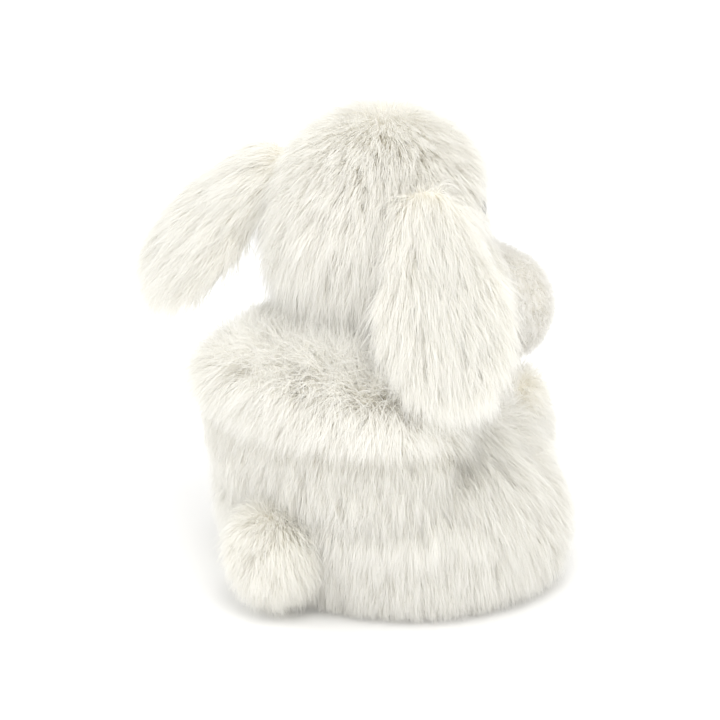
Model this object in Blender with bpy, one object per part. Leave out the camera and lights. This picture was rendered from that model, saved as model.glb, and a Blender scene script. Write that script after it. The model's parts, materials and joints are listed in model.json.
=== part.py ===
"""A sitting, lop-eared plush rabbit, as the sewn and stuffed pieces that it is made of.

The rabbit faces -Y and rests on the flat base at z = 0; its left side is +X. Each soft form is a soft
union of a few ellipsoid lobes. A skin is the outer 2 mm of a form, cut into the panels that are sewn
together, and the stuffing is what is left inside.
"""
import math

import bmesh
import bpy
from mathutils import Matrix, Vector

# Cloth, gaps and the softness with which lobes flow into each other.
SKIN = 0.0022
GAP = 0.0003
STUFFING_GAP = 0.0008
BLEND = 0.004
SNAP = 0.00006
MERGE = 0.000001
FAR = 0.2
SHARP_ANGLE = math.radians(40)

# How finely each form is faceted: (segments, rings).
BODY_FACETS = (24, 14)
HEAD_FACETS = (24, 16)
EAR_FACETS = (20, 12)
BALL_FACETS = (20, 12)
PELLET_FACETS = (20, 10)
ARM_FACETS = (12, 8)
SMALL_FACETS = (14, 8)
NOSE_FACETS = (16, 10)

# Body: (centre, half sizes) of each lobe.
BODY_CENTRE = Vector((0, 0.006, 0.046))
RUMP = (Vector((0, 0.006, 0.030)), Vector((0.066, 0.052, 0.054)))
SHOULDERS = (Vector((0, 0.038, 0.074)), Vector((0.060, 0.031, 0.029)))
HAUNCH = (Vector((0.043, -0.011, 0.024)), Vector((0.025, 0.028, 0.029)))
BASE_THICKNESS = 0.0020
SIDE_SEAM_Y = -0.018
BACK_SEAM_LOW = math.radians(2)
BACK_SEAM_HIGH = math.radians(42)
BACK_SEAM_POINTS = 9

# Pellet bag in the base.
PELLET_CENTRE = Vector((0, 0.006, 0.0120))
PELLET_HALF = Vector((0.038, 0.032, 0.0094))
PELLET_ROOM = 0.0010

# Neck: the wad of fibre is a ball, and head and body are hollowed around it.
NECK = Vector((0, 0.009, 0.096))
NECK_RADIUS = 0.017
NECK_THREAD_RADIUS = 0.0005
NECK_SEAM_TILT = math.radians(25)
NECK_SEAM_POINTS = 32

# Head.
HEAD_CENTRE = Vector((0, -0.016, 0.123))
HEAD_BLEND = 0.006
CROWN = (Vector((0, 0.006, 0.149)), Vector((0.037, 0.037, 0.037)))
CHEEK = (Vector((0.026, -0.037, 0.106)), Vector((0.0205, 0.0205, 0.0205)))
THROAT = (Vector((0, -0.006, 0.116)), Vector((0.032, 0.026, 0.021)))
MUZZLE = (Vector((0, -0.045, 0.112)), Vector((0.016, 0.016, 0.014)))
GUSSET_HALF = 0.013
CHIN_SEAM_Z = 0.1090
FACE_SEAM_POINT = Vector((0, -0.016, 0.118))
FACE_SEAM_NORMAL = Vector((0, -0.85, -0.53)).normalized()

# Eyes, nose and mouth.
EYE_DIRECTION = Vector((0.78, -0.62, 0.04)).normalized()
EYE_RADIUS = 0.0050
EYE_DOME = 0.0032
EYE_DOME_STEPS = 4
EYE_STAND = 0.0006
STEM_RADIUS = 0.0015
STEM_LENGTH = 0.0080
WASHER_GAP = 0.0020
WASHER_RADIUS = 0.0045
WASHER_THICKNESS = 0.0012
STEM_HOLE_TOP = 0.0040
STEM_HOLE_BOTTOM = -0.0050
NOSE_HALF = Vector((0.0060, 0.0016, 0.0042))
NOSE_DIRECTION = Vector((0, -0.93, 0.37)).normalized()
NOSE_TAPER = 0.28
MOUTH_HALF_WIDTH = 0.0096
MOUTH_TOP = -0.0055
MOUTH_SAG = 0.0065
MOUTH_CORNER_LIFT = 0.0040
MOUTH_STEPS = 6
THREAD_RADIUS = 0.0004
SEAM_STAND = 0.0019
MOUTH_STAND = 0.0012

# Ears, in a frame with its origin at the root, -Z towards the tip and +Y out of the furry back.
EAR_ROOT = Vector((0.0330, 0.0215, 0.1725))
EAR_LOBES = [
    (Vector((0, 0, -0.010)), Vector((0.011, 0.0040, 0.011))),
    (Vector((0, 0, -0.030)), Vector((0.017, 0.0048, 0.022))),
    (Vector((0, 0, -0.055)), Vector((0.024, 0.0052, 0.032))),
]
EAR_CENTRE = Vector((0, 0, -0.045))
EAR_CUP = 4.0
EAR_BLEND = 0.001
EAR_HANG = {"right": Vector((-0.40, 0.21, -0.89)), "left": Vector((0.62, 0.29, -0.725))}
EAR_OUTWARD = {"right": Vector((-0.59, 0.68, 0.43)), "left": Vector((0.25, 0.84, 0.48))}

# Arms, in a frame with its origin at the shoulder and -Z towards the paw.
SHOULDER = Vector((0.038, -0.0325, 0.071))
PAW = Vector((0.023, -0.0570, 0.047))
ARM_SHOULDER_RADIUS = 0.0090
ARM_PAW_RADIUS = 0.0098
ARM_WAIST = 0.8
ARM_WAIST_LENGTH = 0.45
ARM_BLEND = 0.002

# Feet.
FOOT_CENTRE = Vector((0.027, -0.0545, 0.0100))
FOOT_HALF = Vector((0.0150, 0.0125, 0.0122))
FOOT_PIVOT = Vector((0.027, -0.0430, 0.0125))
SOLE_TOP = 0.0026
FOOT_LIFT = 0.0004

# Tail.
TAIL_CENTRE = Vector((0, 0.0685, 0.026))
TAIL_HALF = Vector((0.0150, 0.0105, 0.0150))
TAIL_PIVOT = Vector((0, 0.0590, 0.026))
TAIL_OPENING = 0.0045
TAIL_MOUTH = 0.0034
TAIL_THREAD_POINTS = 12

COLOURS = {
    "fur": (0.86, 0.85, 0.82, 0.95),
    "short_fur": (0.88, 0.87, 0.84, 0.90),
    "lining": (0.86, 0.80, 0.77, 0.85),
    "stuffing": (0.93, 0.93, 0.93, 1.00),
    "pellets": (0.80, 0.80, 0.78, 0.80),
    "thread": (0.84, 0.83, 0.80, 0.60),
    "eye": (0.015, 0.012, 0.010, 0.08),
    "washer": (0.75, 0.75, 0.75, 0.45),
    "nose": (0.70, 0.42, 0.42, 0.55),
}


def start_empty():
    """Removes the objects that the scene opens with."""
    for item in list(bpy.data.objects):
        bpy.data.objects.remove(item, do_unlink=True)


def material(name):
    """Returns the named material, made on first use."""
    if name in bpy.data.materials:
        return bpy.data.materials[name]
    red, green, blue, roughness = COLOURS[name]
    finish = bpy.data.materials.new(name)
    finish.use_nodes = True
    shader = finish.node_tree.nodes["Principled BSDF"]
    shader.inputs["Base Color"].default_value = (red, green, blue, 1)
    shader.inputs["Roughness"].default_value = roughness
    shader.inputs["Metallic"].default_value = 0.0
    return finish


def place(name, mesh_data, finish, parent=None, frame=Matrix()):
    """Links a new object, given its place in the world and the empty that it turns with."""
    item = bpy.data.objects.new(name, mesh_data)
    bpy.context.scene.collection.objects.link(item)
    item.data.materials.append(material(finish))
    if parent is not None:
        item.parent = parent
        item.matrix_parent_inverse = parent.matrix_world.inverted()
    item.matrix_world = frame
    return item


def finish_mesh(name, bm):
    """Turns a bmesh into a smooth-shaded mesh and frees it."""
    mesh_data = bpy.data.meshes.new(name)
    bm.to_mesh(mesh_data)
    bm.free()
    mesh_data.shade_smooth()
    mesh_data.set_sharp_from_angle(angle=SHARP_ANGLE)
    return mesh_data


def add_piece(name, bm, finish, parent=None, frame=Matrix()):
    """Makes an object from a bmesh and puts it in its place."""
    return place(name, finish_mesh(name, bm), finish, parent, frame)


def pivot(name, point):
    """An empty on a joint's axis, for the pieces that turn on it."""
    empty = bpy.data.objects.new(name, None)
    bpy.context.scene.collection.objects.link(empty)
    empty.location = point
    bpy.context.view_layer.update()
    return empty


def cut_with(item, cutter):
    """Takes a hidden cutter's volume out of an object."""
    modifier = item.modifiers.new("cut_" + cutter.name, "BOOLEAN")
    modifier.operation = "DIFFERENCE"
    modifier.solver = "EXACT"
    modifier.object = cutter


def hide_cutter(cutter):
    """Marks an object as a cutter, which is no piece of the rabbit."""
    cutter.hide_render = True
    cutter.display_type = "WIRE"
    return cutter


def mirrored(point, side):
    """A point given for the left side, on the side asked for."""
    return Vector((point.x * side, point.y, point.z))


def lobe_distance(point, lobe):
    """Distance from a point to an ellipsoid along the line to its centre, negative inside."""
    centre, half = lobe
    offset = point - centre
    scaled = Vector((offset.x / half.x, offset.y / half.y, offset.z / half.z)).length
    if scaled < MERGE:
        return -min(half)
    return offset.length * (1 - 1 / scaled)


def soft_distance(point, lobes, blend):
    """Distance from a point to the soft union of the lobes, negative inside."""
    nearest = min(lobe_distance(point, lobe) for lobe in lobes)
    total = sum(math.exp((nearest - lobe_distance(point, lobe)) / blend) for lobe in lobes)
    return nearest - blend * math.log(total)


def reach(centre, direction, lobes, blend=BLEND):
    """How far the form's surface lies from centre along direction."""
    inner = 0.0
    outer = FAR
    for _ in range(28):
        middle = (inner + outer) / 2
        if soft_distance(centre + direction * middle, lobes, blend) < 0:
            inner = middle
        else:
            outer = middle
    return inner


def add_surface(bm, centre, lobes, size, inset=0.0, blend=BLEND, inward=False):
    """Adds the closed surface of a soft form, moved towards its centre by inset.

    size is its number of segments and rings.
    """
    made = bmesh.ops.create_uvsphere(bm, u_segments=size[0], v_segments=size[1], radius=1.0)
    faces = {face for vert in made["verts"] for face in vert.link_faces}
    split = bmesh.ops.triangulate(bm, faces=list(faces), quad_method="FIXED")
    for vert in made["verts"]:
        direction = vert.co.normalized()
        vert.co = centre + direction * (reach(centre, direction, lobes, blend) - inset)
    if inward:
        bmesh.ops.reverse_faces(bm, faces=split["faces"])


def loop_count(edges):
    """How many separate closed loops a set of edges makes."""
    left = set(edges)
    count = 0
    while left:
        count += 1
        front = [left.pop()]
        while front:
            edge = front.pop()
            near = {other for vert in edge.verts for other in vert.link_edges if other in left}
            left -= near
            front.extend(near)
    return count


def slice_off(bm, point, normal):
    """Cuts away what lies on the normal's side of a plane and caps the cut."""
    for vert in bm.verts:
        height = (vert.co - point).dot(normal)
        if abs(height) < SNAP:
            vert.co -= normal * height
    made = bmesh.ops.bisect_plane(
        bm,
        geom=bm.verts[:] + bm.edges[:] + bm.faces[:],
        dist=MERGE,
        plane_co=point,
        plane_no=normal,
        clear_outer=True,
    )
    edges = [item for item in made["geom_cut"] if isinstance(item, bmesh.types.BMEdge)]
    rim = [edge for edge in edges if edge.is_boundary]
    if loop_count(rim) == 2:
        bmesh.ops.bridge_loops(bm, edges=rim)
    else:
        bmesh.ops.triangle_fill(bm, edges=rim, use_beauty=True, normal=normal)
    bmesh.ops.recalc_face_normals(bm, faces=bm.faces)


def shell(centre, lobes, size, cuts, blend=BLEND, thickness=SKIN):
    """The outer skin of a form, cut by each (point, normal) plane."""
    bm = bmesh.new()
    add_surface(bm, centre, lobes, size, blend=blend)
    add_surface(bm, centre, lobes, size, inset=thickness, blend=blend, inward=True)
    for point, normal in cuts:
        slice_off(bm, Vector(point), Vector(normal).normalized())
    return bm


def filling(centre, lobes, size, cuts=(), blend=BLEND, inset=SKIN + STUFFING_GAP):
    """The stuffing inside a skin."""
    bm = bmesh.new()
    add_surface(bm, centre, lobes, size, inset=inset, blend=blend)
    for point, normal in cuts:
        slice_off(bm, Vector(point), Vector(normal).normalized())
    return bm


def ball_cutter(name, centre, radius):
    """A hidden ball to cut with."""
    bm = bmesh.new()
    bmesh.ops.create_uvsphere(bm, u_segments=BALL_FACETS[0], v_segments=BALL_FACETS[1], radius=radius)
    bmesh.ops.translate(bm, verts=bm.verts, vec=centre)
    return hide_cutter(add_piece(name, bm, "stuffing"))


def turned(profile, steps=12):
    """A solid turned about +Z from an outline of (radius, height) points, top to bottom outside."""
    bm = bmesh.new()
    verts = [bm.verts.new((radius, 0, height)) for radius, height in profile]
    edges = [bm.edges.new(pair) for pair in zip(verts, verts[1:])]
    if profile[0][0] > 0:
        edges.append(bm.edges.new((verts[-1], verts[0])))
    bmesh.ops.spin(
        bm,
        geom=verts + edges,
        cent=(0, 0, 0),
        axis=(0, 0, 1),
        angle=2 * math.pi,
        steps=steps,
        use_merge=True,
    )
    bmesh.ops.remove_doubles(bm, verts=bm.verts, dist=MERGE)
    bmesh.ops.recalc_face_normals(bm, faces=bm.faces)
    return bm


def thread(name, points, radius, parent=None, closed=False):
    """A length of thread through the points, as a round curve with closed ends."""
    curve = bpy.data.curves.new(name, "CURVE")
    curve.dimensions = "3D"
    curve.bevel_depth = radius
    curve.bevel_resolution = 1
    curve.use_fill_caps = not closed
    spline = curve.splines.new("POLY")
    spline.points.add(len(points) - 1)
    spline.use_cyclic_u = closed
    for knot, point in zip(spline.points, points):
        knot.co = (*point, 1)
    return place(name, curve, "thread", parent)


def build_body(neck_cutter):
    """The body's four panels and its stuffing."""
    lobes = [RUMP, SHOULDERS, HAUNCH, (mirrored(HAUNCH[0], -1), HAUNCH[1])]
    above_base = ((0, 0, BASE_THICKNESS + GAP), (0, 0, -1))
    behind_seam = ((0, SIDE_SEAM_Y + GAP / 2, 0), (0, -1, 0))
    panels = {
        "back_panel_left": [above_base, behind_seam, ((GAP / 2, 0, 0), (-1, 0, 0))],
        "back_panel_right": [above_base, behind_seam, ((-GAP / 2, 0, 0), (1, 0, 0))],
        "belly_panel": [above_base, ((0, SIDE_SEAM_Y - GAP / 2, 0), (0, 1, 0))],
    }
    for name, cuts in panels.items():
        panel = add_piece(name, shell(BODY_CENTRE, lobes, BODY_FACETS, cuts), "fur")
        cut_with(panel, neck_cutter)
    flat = [((0, 0, 0), (0, 0, -1)), ((0, 0, BASE_THICKNESS), (0, 0, 1))]
    base = filling(BODY_CENTRE, lobes, BODY_FACETS, flat, inset=0.0)
    add_piece("base_panel", base, "fur")
    wad = filling(BODY_CENTRE, lobes, BODY_FACETS, [above_base])
    stuffing = add_piece("body_stuffing", wad, "stuffing")
    cut_with(stuffing, neck_cutter)
    build_pellets(stuffing)
    build_back_seam(lobes)


def build_pellets(stuffing):
    """The bag of pellets that weights the base, in a pocket that opens through the stuffing's floor."""
    room = Vector((PELLET_ROOM, PELLET_ROOM, PELLET_ROOM))
    pocket = bmesh.new()
    add_surface(pocket, PELLET_CENTRE, [(PELLET_CENTRE, PELLET_HALF + room)], PELLET_FACETS)
    cut_with(stuffing, hide_cutter(add_piece("pellet_pocket", pocket, "stuffing")))
    bag = bmesh.new()
    add_surface(bag, PELLET_CENTRE, [(PELLET_CENTRE, PELLET_HALF)], PELLET_FACETS)
    add_piece("pellet_bag", bag, "pellets")


def build_back_seam(lobes):
    """The thread that closes the stuffing hole, down the middle of the back."""
    points = []
    for step in range(BACK_SEAM_POINTS):
        share = step / (BACK_SEAM_POINTS - 1)
        angle = BACK_SEAM_LOW + (BACK_SEAM_HIGH - BACK_SEAM_LOW) * share
        direction = Vector((0, math.cos(angle), math.sin(angle)))
        points.append(BODY_CENTRE + direction * (reach(BODY_CENTRE, direction, lobes) + SEAM_STAND))
    thread("back_seam_thread", points, THREAD_RADIUS)


def build_neck(parent):
    """The wad of fibre between body and head, and the thread of the neck seam round it."""
    bm = bmesh.new()
    bmesh.ops.create_uvsphere(bm, u_segments=BALL_FACETS[0], v_segments=BALL_FACETS[1], radius=NECK_RADIUS)
    add_piece("neck_stuffing", bm, "stuffing", parent, Matrix.Translation(NECK))
    ring = NECK_RADIUS + GAP + NECK_THREAD_RADIUS
    tilt = Matrix.Rotation(NECK_SEAM_TILT, 3, "X")
    points = []
    for step in range(NECK_SEAM_POINTS):
        angle = 2 * math.pi * step / NECK_SEAM_POINTS
        points.append(NECK + tilt @ Vector((ring * math.cos(angle), ring * math.sin(angle), 0)))
    thread("neck_thread", points, NECK_THREAD_RADIUS, closed=True)


def head_lobes():
    """The lobes of the head: crown, throat, two cheeks and muzzle."""
    return [CROWN, THROAT, CHEEK, (mirrored(CHEEK[0], -1), CHEEK[1]), MUZZLE]


def eye_frame(side):
    """The place of an eye: its origin is on the skin, and +Z points out."""
    direction = mirrored(EYE_DIRECTION, side)
    centre = CROWN[0]
    spot = centre + direction * reach(centre, direction, head_lobes(), blend=HEAD_BLEND)
    return Matrix.Translation(spot) @ direction.to_track_quat("Z", "Y").to_matrix().to_4x4()


def head_panel_cuts():
    """The seam planes of each head panel, by the panel's name."""
    behind = (FACE_SEAM_POINT - FACE_SEAM_NORMAL * GAP / 2, FACE_SEAM_NORMAL)
    before = (FACE_SEAM_POINT + FACE_SEAM_NORMAL * GAP / 2, -FACE_SEAM_NORMAL)
    above = ((0, 0, CHIN_SEAM_Z + GAP / 2), (0, 0, -1))
    below = ((0, 0, CHIN_SEAM_Z - GAP / 2), (0, 0, 1))
    gusset_left = ((GUSSET_HALF, 0, 0), (1, 0, 0))
    gusset_right = ((-GUSSET_HALF, 0, 0), (-1, 0, 0))
    cuts = {"head_gusset": [behind, above, gusset_left, gusset_right]}
    for side_name, side in (("left", 1), ("right", -1)):
        middle = ((side * GAP / 2, 0, 0), (-side, 0, 0))
        beside_gusset = ((side * (GUSSET_HALF + GAP), 0, 0), (-side, 0, 0))
        cuts["head_side_" + side_name] = [behind, above, beside_gusset]
        cuts["throat_panel_" + side_name] = [behind, below, middle]
        cuts["cheek_panel_" + side_name] = [before, middle]
    return cuts


def build_head(parent, neck_cutter):
    """The head's seven panels, its stuffing and its eyes."""
    lobes = head_lobes()
    wad = filling(HEAD_CENTRE, lobes, HEAD_FACETS, blend=HEAD_BLEND)
    stuffing = add_piece("head_stuffing", wad, "stuffing", parent)
    cut_with(stuffing, neck_cutter)
    built = {}
    for name, cuts in head_panel_cuts().items():
        finish = "short_fur" if name.startswith("cheek") else "fur"
        panel = shell(HEAD_CENTRE, lobes, HEAD_FACETS, cuts, HEAD_BLEND)
        built[name] = add_piece(name, panel, finish, parent)
        cut_with(built[name], neck_cutter)
    for side_name, side in (("left", 1), ("right", -1)):
        build_eye(side_name, side, parent, built["head_side_" + side_name], stuffing)


def build_eye(side_name, side, parent, skin, stuffing):
    """A safety eye: a dome on a stem through the skin, and the washer that holds it inside."""
    frame = eye_frame(side)
    outline = [(0, EYE_STAND + EYE_DOME)]
    for step in range(1, EYE_DOME_STEPS + 1):
        angle = math.pi / 2 * step / EYE_DOME_STEPS
        outline.append((EYE_RADIUS * math.sin(angle), EYE_STAND + EYE_DOME * math.cos(angle)))
    outline += [(STEM_RADIUS, EYE_STAND), (STEM_RADIUS, -STEM_LENGTH), (0, -STEM_LENGTH)]
    add_piece("eye_" + side_name, turned(outline), "eye", parent, frame)
    top = -SKIN - WASHER_GAP
    bottom = top - WASHER_THICKNESS
    inner = STEM_RADIUS + GAP
    outline = [(inner, top), (WASHER_RADIUS, top), (WASHER_RADIUS, bottom), (inner, bottom)]
    add_piece("eye_washer_" + side_name, turned(outline), "washer", parent, frame)
    outline = [(0, STEM_HOLE_TOP), (inner, STEM_HOLE_TOP), (inner, STEM_HOLE_BOTTOM), (0, STEM_HOLE_BOTTOM)]
    hole = add_piece("stem_hole_" + side_name, turned(outline), "stuffing", frame=frame)
    cut_with(skin, hide_cutter(hole))
    room = WASHER_RADIUS + 2 * GAP
    deep = -STEM_LENGTH - 2 * GAP
    outline = [(0, STEM_HOLE_TOP), (room, STEM_HOLE_TOP), (room, deep), (0, deep)]
    pocket = add_piece("washer_pocket_" + side_name, turned(outline), "stuffing", frame=frame)
    cut_with(stuffing, hide_cutter(pocket))


def build_face(parent):
    """The stitched nose and the mouth's thread, both lying on the muzzle."""
    lobes = head_lobes()
    start = MUZZLE[0]
    nose_reach = reach(start, NOSE_DIRECTION, lobes, blend=HEAD_BLEND)
    spot = start + NOSE_DIRECTION * (nose_reach + NOSE_HALF.y + GAP)
    bm = bmesh.new()
    bmesh.ops.create_uvsphere(bm, u_segments=NOSE_FACETS[0], v_segments=NOSE_FACETS[1], radius=1.0)
    for vert in bm.verts:
        width = NOSE_HALF.x * (1 - NOSE_TAPER + NOSE_TAPER * vert.co.z)
        vert.co = Vector((vert.co.x * width, vert.co.y * NOSE_HALF.y, vert.co.z * NOSE_HALF.z))
    tilt = (-NOSE_DIRECTION).to_track_quat("Y", "Z").to_matrix().to_4x4()
    add_piece("nose_stitching", bm, "nose", parent, Matrix.Translation(spot) @ tilt)
    points = []
    for step in range(-MOUTH_STEPS, MOUTH_STEPS + 1):
        share = step / MOUTH_STEPS
        sag = MOUTH_SAG * math.sin(math.pi * abs(share) / 2)
        fall = MOUTH_TOP - sag + MOUTH_CORNER_LIFT * share * share
        direction = (spot + Vector((MOUTH_HALF_WIDTH * share, 0, fall)) - start).normalized()
        distance = reach(start, direction, lobes, blend=HEAD_BLEND) + MOUTH_STAND
        points.append(start + direction * distance)
    thread("mouth_thread", points, THREAD_RADIUS, parent)


def ear_frame(side_name):
    """The ear's frame: origin at the root, -Z along the ear, +Y out of its furry back."""
    side = 1 if side_name == "left" else -1
    length = -EAR_HANG[side_name].normalized()
    outward = EAR_OUTWARD[side_name]
    outward = (outward - length * outward.dot(length)).normalized()
    across = outward.cross(length)
    frame = Matrix((across, outward, length)).transposed().to_4x4()
    return Matrix.Translation(mirrored(EAR_ROOT, side)) @ frame


def build_ear(side_name, parent):
    """An ear: a furry back and a lining, sewn round the edge and turned."""
    parts = {
        "back": ((0, GAP / 2, 0), (0, -1, 0), "fur"),
        "lining": ((0, -GAP / 2, 0), (0, 1, 0), "lining"),
    }
    for part_name, (point, normal, finish) in parts.items():
        bm = filling(EAR_CENTRE, EAR_LOBES, EAR_FACETS, [(point, normal)], EAR_BLEND, 0.0)
        for vert in bm.verts:
            vert.co.y -= EAR_CUP * vert.co.x * vert.co.x
        add_piece("ear_" + side_name + "_" + part_name, bm, finish, parent, ear_frame(side_name))


def arm_frame(side):
    """The arm's frame: origin at the shoulder, -Z towards the paw, +X away from the belly."""
    shoulder = mirrored(SHOULDER, side)
    upright = (shoulder - mirrored(PAW, side)).normalized()
    outward = Vector((side, 0, 0))
    outward = (outward - upright * outward.dot(upright)).normalized()
    turn = Matrix((outward, upright.cross(outward), upright)).transposed().to_4x4()
    return Matrix.Translation(shoulder) @ turn


def build_arm(side_name, side, parent):
    """An arm: an outer and an inner panel over a stuffed core."""
    length = (SHOULDER - PAW).length
    waist = ARM_SHOULDER_RADIUS * ARM_WAIST
    middle = Vector((0, 0, -length / 2))
    lobes = [
        (Vector((0, 0, 0)), Vector((ARM_SHOULDER_RADIUS, ARM_SHOULDER_RADIUS, ARM_SHOULDER_RADIUS))),
        (middle, Vector((waist, waist, length * ARM_WAIST_LENGTH))),
        (Vector((0, 0, -length)), Vector((ARM_PAW_RADIUS, ARM_PAW_RADIUS, ARM_PAW_RADIUS))),
    ]
    frame = arm_frame(side)
    seams = {"outer": ((GAP / 2, 0, 0), (-1, 0, 0)), "inner": ((-GAP / 2, 0, 0), (1, 0, 0))}
    for part_name, cut in seams.items():
        panel = shell(middle, lobes, ARM_FACETS, [cut], ARM_BLEND)
        add_piece("arm_" + side_name + "_" + part_name, panel, "fur", parent, frame)
    wad = filling(middle, lobes, ARM_FACETS, blend=ARM_BLEND)
    add_piece("arm_" + side_name + "_stuffing", wad, "stuffing", parent, frame)


def build_foot(side_name, side, parent):
    """A short hind foot: a furry top, a flat sole and its stuffing."""
    centre = mirrored(FOOT_CENTRE, side)
    lobes = [(centre, FOOT_HALF)]
    above_sole = ((0, 0, SOLE_TOP + GAP), (0, 0, -1))
    flat = [((0, 0, FOOT_LIFT), (0, 0, -1)), ((0, 0, SOLE_TOP), (0, 0, 1))]
    prefix = "foot_" + side_name
    add_piece(prefix + "_top", shell(centre, lobes, SMALL_FACETS, [above_sole]), "fur", parent)
    add_piece(prefix + "_sole", filling(centre, lobes, SMALL_FACETS, flat, inset=0.0), "short_fur", parent)
    add_piece(prefix + "_stuffing", filling(centre, lobes, SMALL_FACETS, [above_sole]), "stuffing", parent)


def build_tail(parent):
    """The tail: a gathered round of fur fabric over stuffing, sewn on with a few turns of thread."""
    lobes = [(TAIL_CENTRE, TAIL_HALF)]
    mouth = (TAIL_CENTRE - Vector((0, TAIL_HALF.y - TAIL_MOUTH, 0)), (0, -1, 0))
    add_piece("tail_cover", shell(TAIL_CENTRE, lobes, SMALL_FACETS, [mouth]), "fur", parent)
    add_piece("tail_stuffing", filling(TAIL_CENTRE, lobes, SMALL_FACETS, [mouth]), "stuffing", parent)
    points = []
    for step in range(TAIL_THREAD_POINTS):
        angle = 2 * math.pi * step / TAIL_THREAD_POINTS
        around = Vector((math.cos(angle), 0, math.sin(angle))) * TAIL_OPENING
        points.append(mouth[0] + around - Vector((0, THREAD_RADIUS + GAP, 0)))
    thread("tail_thread", points, THREAD_RADIUS, parent, closed=True)


def main():
    """Builds the rabbit."""
    start_empty()
    neck_cutter = ball_cutter("neck_hollow", NECK, NECK_RADIUS + GAP)
    neck = pivot("neck_pivot", NECK)
    head = pivot("head_pivot", NECK)
    build_body(neck_cutter)
    build_neck(neck)
    build_head(head, neck_cutter)
    build_face(head)
    for side_name, side in (("left", 1), ("right", -1)):
        build_ear(side_name, pivot("ear_root_" + side_name, mirrored(EAR_ROOT, side)))
        build_arm(side_name, side, pivot("shoulder_" + side_name, mirrored(SHOULDER, side)))
        build_foot(side_name, side, pivot("foot_pivot_" + side_name, mirrored(FOOT_PIVOT, side)))
    build_tail(pivot("tail_pivot", TAIL_PIVOT))


main()
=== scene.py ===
"""A white, long-pile plush rabbit on a pale studio floor: its covers, pile, face and finishes."""
import json
import logging
import math
from dataclasses import dataclass, field
from enum import Enum
from typing import Callable, Sequence

import bmesh
import bpy
import numpy as np
from mathutils import Matrix, Vector
from mathutils.kdtree import KDTree


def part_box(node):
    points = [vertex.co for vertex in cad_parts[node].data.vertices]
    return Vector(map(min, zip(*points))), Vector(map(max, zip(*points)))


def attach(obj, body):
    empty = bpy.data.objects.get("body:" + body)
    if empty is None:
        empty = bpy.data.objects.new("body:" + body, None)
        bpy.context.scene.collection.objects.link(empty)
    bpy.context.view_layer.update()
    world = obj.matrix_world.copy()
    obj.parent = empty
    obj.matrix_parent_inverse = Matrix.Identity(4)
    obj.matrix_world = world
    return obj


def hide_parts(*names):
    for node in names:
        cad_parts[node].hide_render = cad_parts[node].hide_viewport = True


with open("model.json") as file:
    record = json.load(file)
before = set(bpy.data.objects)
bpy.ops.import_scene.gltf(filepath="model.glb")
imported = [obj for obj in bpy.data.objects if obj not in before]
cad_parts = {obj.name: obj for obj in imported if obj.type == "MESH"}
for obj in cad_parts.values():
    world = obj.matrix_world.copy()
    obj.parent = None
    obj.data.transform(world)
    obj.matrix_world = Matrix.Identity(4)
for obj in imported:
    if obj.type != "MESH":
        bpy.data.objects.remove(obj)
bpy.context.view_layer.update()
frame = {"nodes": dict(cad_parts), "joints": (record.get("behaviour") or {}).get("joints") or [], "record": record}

STRAND_MAP = "OFBake"
WELD = 0.000002
TINY = 1e-9
FLOOR_CLEARANCE = 0.0003
UNDERSIDE = 0.0016
NECK_ROOM = 0.0185
BAND_PITCH = 0.314
LOG = logging.getLogger("rabbit")

Array = np.ndarray
Comb = Callable[[Array, Array], Array]
Plane = tuple[Vector, Vector]
Colour = Sequence[float] | bpy.types.NodeSocket


class Side(Enum):
    """A side of the rabbit, with the sign of its X."""

    LEFT = 1
    RIGHT = -1

    @property
    def word(self) -> str:
        """The side's name as the pieces use it."""
        return self.name.lower()


class Value:
    """A number on a shader socket, on which Python's operators add Math nodes."""

    def __init__(self, graph: "Graph", socket: bpy.types.NodeSocket) -> None:
        """Keeps the graph that new nodes go to and the socket that holds the number."""
        self.graph = graph
        self.socket = socket

    def _math(self, operation: str, first: object, second: object) -> "Value":
        """Adds a Math node.

        Args:
            operation: The node's operation.
            first: Its first value, a Value or a number.
            second: Its second value, a Value or a number.

        Returns:
            The node's result.
        """
        return self.graph.value("ShaderNodeMath", {"operation": operation}, {0: first, 1: second})

    def __add__(self, other: object) -> "Value":
        """The sum."""
        return self._math("ADD", self, other)

    __radd__ = __add__

    def __mul__(self, other: object) -> "Value":
        """The product."""
        return self._math("MULTIPLY", self, other)

    __rmul__ = __mul__

    def __pow__(self, other: object) -> "Value":
        """The power."""
        return self._math("POWER", self, other)


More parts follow.
